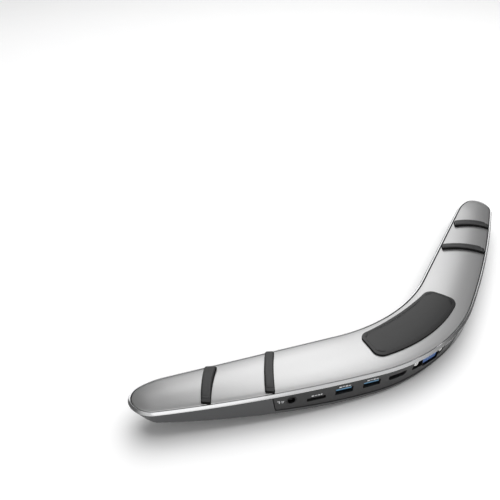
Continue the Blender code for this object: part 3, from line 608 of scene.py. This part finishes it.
def make_pads():
    """Rubber rests: upright walls, a rounded shoulder and a raised tread that stops short of the front end."""
    for side_name, side in (("left", -1), ("right", 1)):
        for kind, (x0, y0, length) in PADS.items():
            lean = math.radians(PAD_LEAN)

            def place(u, v, x0=x0, y0=y0, length=length, side=side, kind=kind, lean=lean):
                along = v + length / 2
                taper = PAD_TAPER[kind] * along / length
                off = PAD_BOW * (1 - (2 * v / length) ** 2) + (u if u > 0 else u * (1 + 2 * taper / PAD_WIDTH))
                x = x0 - along * math.sin(lean) + off * math.cos(lean)
                return side * x, y0 + along * math.cos(lean) + off * math.sin(lean)

            base = divided(rounded_box(PAD_WIDTH, length, PAD_CORNER, ROUND_STEPS), PAD_LONGEST_STEP)

            def level(shrink, ledge, lift, base=base, length=length):
                moved = rescaled(base, PAD_WIDTH, length, shrink)
                share = ledge / (length - 2 * shrink)
                return [(u, v * (1 - share) + ledge / 2) for u, v in moved], above(PAD_PROUD + lift)

            levels = [(base, above(-PLATE_SINK)), level(0.0, 0.0, -PAD_WALL_DROP)]
            for turn in quarter_turns(1):
                inset, rise = PAD_ROUND * (1 - math.cos(turn)), PAD_ROUND * math.sin(turn)
                levels.append(level(inset, 0.0, rise - PAD_WALL_DROP))
            levels += [level(inset, PAD_LEDGE + extra, lift) for inset, extra, lift in PAD_TREAD]
            name = f"rest_pad_{side_name}_{kind}"
            # the lowest walls of each rest are painted near black, as painted shade
            made = lofted_plate(f"{name}_tread", levels, place, FINISHES["pad_rubber"], edge_levels=6)
            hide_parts(name)


def badge_place(u, v):
    """Bends the badge's flat outline between its curved front and back edges."""
    half = BADGE_FRONT_RADIUS * math.radians(BADGE_HALF_ANGLE)
    depth = BADGE_BACK_Y - BADGE_FRONT_Y
    share, part = u / half, (v + depth / 2) / depth
    angle = share * math.radians(BADGE_HALF_ANGLE)
    front_x = BADGE_FRONT_RADIUS * math.sin(angle)
    front_y = BADGE_FRONT_Y + BADGE_FRONT_RADIUS * (1 - math.cos(angle))
    back_x = share * BADGE_BACK_HALF
    back_y = BADGE_BACK_Y + back_x**2 / (2 * BADGE_BACK_RADIUS)
    return front_x * (1 - part) + back_x * part, front_y * (1 - part) + back_y * part


def make_badge():
    """The dark plate over the middle, with a rounded edge and a fine line sunk inside its border."""
    length = 2 * BADGE_FRONT_RADIUS * math.radians(BADGE_HALF_ANGLE)
    depth = BADGE_BACK_Y - BADGE_FRONT_Y
    base = divided(rounded_box(length, depth, BADGE_CORNER, BADGE_CORNER_STEPS), BADGE_LONGEST_STEP)
    shoulder = BADGE_PROUD - BADGE_ROUND - BADGE_EASE
    steps = [(0.0, -PLATE_SINK), (0.0, shoulder)]
    for turn in quarter_turns(1):
        steps.append((BADGE_ROUND * (1 - math.cos(turn)), shoulder + BADGE_ROUND * math.sin(turn)))
    steps += [(inset, BADGE_PROUD + lift) for inset, lift in BADGE_FACE]
    steps.append((depth / 2 - BADGE_MIDDLE, BADGE_PROUD))
    levels = [(rescaled(base, length, depth, inset), above(lift)) for inset, lift in steps]
    # the badge's lower walls are painted near black, as painted shade
    made = lofted_plate("badge_plate", levels, badge_place, FINISHES["badge_plastic"], edge_levels=5)
    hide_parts("center_badge")


def hexagon_reach(turn):
    """Reach of a unit hexagon with a corner at turn zero."""
    return math.cos(math.radians(30)) / math.cos(turn % math.radians(60) - math.radians(30))


def make_jackscrews():
    """Hexagon standoffs with a rounded face and a threaded hole, and a stud behind each."""
    count = JACKSCREW_POINTS
    turns = [math.tau * step / count for step in range(count)]
    place = port_matrix(*VGA_AT, VGA_SET_BACK)
    for side_name, side in (("left", -1), ("right", 1)):
        middle = side * VGA_SCREW_PITCH / 2
        points, faces = [], []
        for reach, depth, round_share in JACKSCREW_PROFILE:
            for turn in turns:
                out = reach * (round_share + (1 - round_share) * hexagon_reach(turn))
                points.append((middle + out * math.cos(turn), depth, out * math.sin(turn)))
        for level in range(len(JACKSCREW_PROFILE) - 1):
            faces += ring_walls(level * count, (level + 1) * count, count)
        faces += [tuple(range(count)), tuple(range(len(points) - count, len(points)))]
        base = len(points)
        radius = JACKSCREW_STUD_RADIUS
        for depth in JACKSCREW_STUD_DEPTHS:
            points += [(middle + radius * math.cos(turn), depth, radius * math.sin(turn)) for turn in turns]
        faces += ring_walls(base, base + count, count)
        faces += [tuple(range(base, base + count)), tuple(range(base + count, base + 2 * count))]
        metres = [tuple(MM * part for part in point) for point in points]
        name = f"jackscrew_{side_name}_head"
        # the standoffs take the lightened nickel, partly painted light
        made = add_mesh(name, metres, faces, FINISHES["nickel_with_painted_light"], smooth_angle=35.0, place=place)
        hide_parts(f"vga_jackscrew_{side_name}")


def mark_bar(points, faces, x, z, width, height):
    """A flat bar of print, bent to the port panel's curve."""
    steps = max(2, math.ceil(width / MARK_LONGEST_STEP))
    first = len(points)
    for step in range(steps + 1):
        at = x + width * (step / steps - 0.5)
        for level in (z - height / 2, z + height / 2):
            points += [wall_point(at, level, PANEL_SET_BACK - proud) for proud in (MARK_PROUD, 0.0)]
    for step in range(steps):
        a, b = first + 4 * step, first + 4 * step + 4
        faces += [(a, b, b + 2, a + 2), (a + 1, a + 3, b + 3, b + 1)]
        faces += [(a, a + 1, b + 1, b), (a + 2, b + 2, b + 3, a + 3)]
    end = first + 4 * steps
    faces += [(first, first + 2, first + 3, first + 1), (end, end + 1, end + 3, end + 2)]


def make_marks():
    """Small plain printed marks that tell the ports apart."""
    for name, x, z, bars in MARKS:
        points, faces = [], []
        for across_by, up_by, width, height in bars:
            mark_bar(points, faces, x + across_by, z + up_by, width, height)
        add_mesh(name, to_metres(points), faces, FINISHES["printed_white"], smooth_angle=30.0)


# --- materials on the CAD nodes that stay ------------------------------------------------------------------


def smoothing_group(angle):
    """Geometry nodes that weld the imported facets and shade them smooth below this angle."""
    group = bpy.data.node_groups.new("smooth_by_angle", "GeometryNodeTree")
    group.interface.new_socket("Geometry", in_out="INPUT", socket_type="NodeSocketGeometry")
    group.interface.new_socket("Geometry", in_out="OUTPUT", socket_type="NodeSocketGeometry")
    nodes, links = group.nodes, group.links
    start, end = nodes.new("NodeGroupInput"), nodes.new("NodeGroupOutput")
    weld = nodes.new("GeometryNodeMergeByDistance")
    weld.inputs["Distance"].default_value = WELD_DISTANCE
    faces = nodes.new("GeometryNodeSetShadeSmooth")
    faces.domain = "FACE"
    edges = nodes.new("GeometryNodeSetShadeSmooth")
    edges.domain = "EDGE"
    edges.inputs["Shade Smooth"].default_value = False
    between = nodes.new("GeometryNodeInputMeshEdgeAngle")
    compare = nodes.new("FunctionNodeCompare")
    compare.data_type = "FLOAT"
    compare.operation = "GREATER_THAN"
    compare.inputs["B"].default_value = math.radians(angle)
    links.new(start.outputs[0], weld.inputs["Geometry"])
    links.new(weld.outputs["Geometry"], faces.inputs["Geometry"])
    links.new(faces.outputs["Geometry"], edges.inputs["Geometry"])
    links.new(between.outputs["Unsigned Angle"], compare.inputs["A"])
    links.new(compare.outputs["Result"], edges.inputs["Selection"])
    links.new(edges.outputs["Geometry"], end.inputs[0])
    return group


def finish_nodes():
    """Gives every CAD node the finish of its slot in the record, or its own from NODE_FINISHES."""
    slots = {entry["node"]: entry["material_slot"] for entry in frame["record"]["subparts"]}
    group = smoothing_group(SMOOTH_ANGLE)
    for name, node in NODES.items():
        node.data.materials.clear()
        node.data.materials.append(FINISHES[NODE_FINISHES.get(name, slots[name])])
        modifier = node.modifiers.new("smooth_by_angle", "NODES")
        modifier.node_group = group


# --- stage -------------------------------------------------------------------------------------------------


def make_stage():
    mesh = bpy.data.meshes.new("floor")
    corners = [(x * FLOOR_REACH, y * FLOOR_REACH, 0) for x, y in ((-1, -1), (1, -1), (1, 1), (-1, 1))]
    mesh.from_pydata(corners, [], [(0, 1, 2, 3)])
    paint = Finish("floor_paint", (0.90, 0.90, 0.90), 0.9)
    paint.vary_color(paint.noise(60.0, 2.0), (0.895, 0.895, 0.897))
    mesh.materials.append(paint.material)
    floor = bpy.data.objects.new("floor", mesh)
    bpy.context.scene.collection.objects.link(floor)


def make_world():
    """Dim studio with a broad glow on the camera's side and round softboxes behind and above the object."""
    world = bpy.data.worlds.new("studio")
    bpy.context.scene.world = world
    world.use_nodes = True
    tree = world.node_tree
    background = tree.nodes["Background"]
    coordinates = tree.nodes.new("ShaderNodeTexCoord")

    def glow(azimuth, elevation, outer, inner, amount):
        """A round light that fades from its inner angle to its outer one, in degrees from its middle."""
        dot = tree.nodes.new("ShaderNodeVectorMath")
        dot.operation = "DOT_PRODUCT"
        dot.inputs[1].default_value = direction(azimuth, elevation)
        tree.links.new(coordinates.outputs["Generated"], dot.inputs[0])
        ranged = tree.nodes.new("ShaderNodeMapRange")
        ranged.interpolation_type = "SMOOTHSTEP"
        tree.links.new(dot.outputs["Value"], ranged.inputs["Value"])
        ranged.inputs["From Min"].default_value = math.cos(math.radians(outer))
        ranged.inputs["From Max"].default_value = math.cos(math.radians(inner))
        ranged.inputs["To Min"].default_value = 0.0
        ranged.inputs["To Max"].default_value = amount
        return ranged.outputs["Result"]

    total = None
    for lamp in STUDIO_LIGHTS:
        level = glow(*lamp)
        if total is not None:
            add = tree.nodes.new("ShaderNodeMath")
            add.operation = "ADD"
            tree.links.new(total, add.inputs[0])
            tree.links.new(level, add.inputs[1])
            level = add.outputs["Value"]
        total = level
    base = tree.nodes.new("ShaderNodeMath")
    base.operation = "ADD"
    base.inputs[1].default_value = STUDIO_BASE
    tree.links.new(total, base.inputs[0])
    tree.links.new(base.outputs["Value"], background.inputs["Strength"])
    background.inputs["Color"].default_value = (1.0, 1.0, 1.0, 1.0)


def make_ceiling_light():
    """The main light: a broad panel for the matt surfaces, which reflections don't show."""
    towards = direction(CEILING_AZIMUTH, CEILING_ELEVATION)
    data = bpy.data.lights.new("ceiling_light", "AREA")
    data.shape = "DISK"
    data.size = CEILING_SIZE
    data.energy = CEILING_POWER
    light = bpy.data.objects.new("ceiling_light", data)
    light.location = towards * CEILING_DISTANCE
    light.rotation_euler = towards.to_track_quat("Z", "Y").to_euler()
    light.visible_glossy = False
    bpy.context.scene.collection.objects.link(light)


def make_camera():
    data = bpy.data.cameras.new("camera")
    data.lens = CAMERA_LENS
    data.sensor_width = CAMERA_SENSOR
    data.clip_start, data.clip_end = CAMERA_CLIP
    camera = bpy.data.objects.new("camera", data)
    camera.location = CAMERA_AT
    camera.rotation_euler = (math.radians(90 - CAMERA_ELEVATION), 0.0, math.radians(CAMERA_AZIMUTH))
    bpy.context.scene.collection.objects.link(camera)
    bpy.context.scene.camera = camera


FINISHES = {
    "silver_paint": silver_paint(),
    "polished_trim": polished_trim(),
    "gunmetal_plastic": gunmetal_plastic(),
    "panel_plastic": panel_plastic(),
    "badge_plastic": badge_plastic(),
    "pad_rubber": rubber("pad_rubber", (0.018, 0.018, 0.0185), 0.40, 1.0),
    "foot_rubber": rubber("foot_rubber", (0.02, 0.02, 0.02)),
    # painted shade: the shells' steel is near black, standing in for the shade inside the port openings
    "port_steel": sheet_steel("port_steel", (0.022, 0.022, 0.023), 0.5),
    "blue_insulator": moulded("blue_insulator", (0.07, 0.16, 0.42)),
    # partly painted shade: the insulators are black plastic, made darker still to stand in for the shade inside
    # the openings
    "black_insulator": moulded("black_insulator", (0.006, 0.006, 0.0065)),
    "circuit_board": circuit_board(),
    "chip_epoxy": moulded("chip_epoxy", (0.02, 0.02, 0.022), 0.55),
    "capacitor_can": sheet_steel("capacitor_can", (0.7, 0.7, 0.72), 0.3),
    "screw_steel": sheet_steel("screw_steel", (0.72, 0.72, 0.73), 0.18),
    "nickel_with_painted_light": nickel_with_painted_light(),
    "printed_white": printed_white(),
    # painted shade: near-black finish for the lower walls of the rests and the badge
    "painted_shade_edge": rubber("painted_shade_edge", (0.006, 0.006, 0.006), 0.7, 0.15),
    # painted light: the USB tongues take a lighter blue than their own, standing in for light inside the shaded
    # openings
    "tongue_blue_painted_light": moulded("tongue_blue_painted_light", (0.11, 0.29, 0.47)),
}
# the USB tongues take the lightened blue, which is painted light
NODE_FINISHES = {"usb_a_tongue_1": "tongue_blue_painted_light", "usb_a_tongue_2": "tongue_blue_painted_light"}


def main():
    bpy.context.scene.view_settings.view_transform = "Standard"
    finish_nodes()
    make_cover()
    make_trim()
    make_pads()
    make_badge()
    make_jackscrews()
    make_marks()
    make_stage()
    make_world()
    make_ceiling_light()
    make_camera()


main()
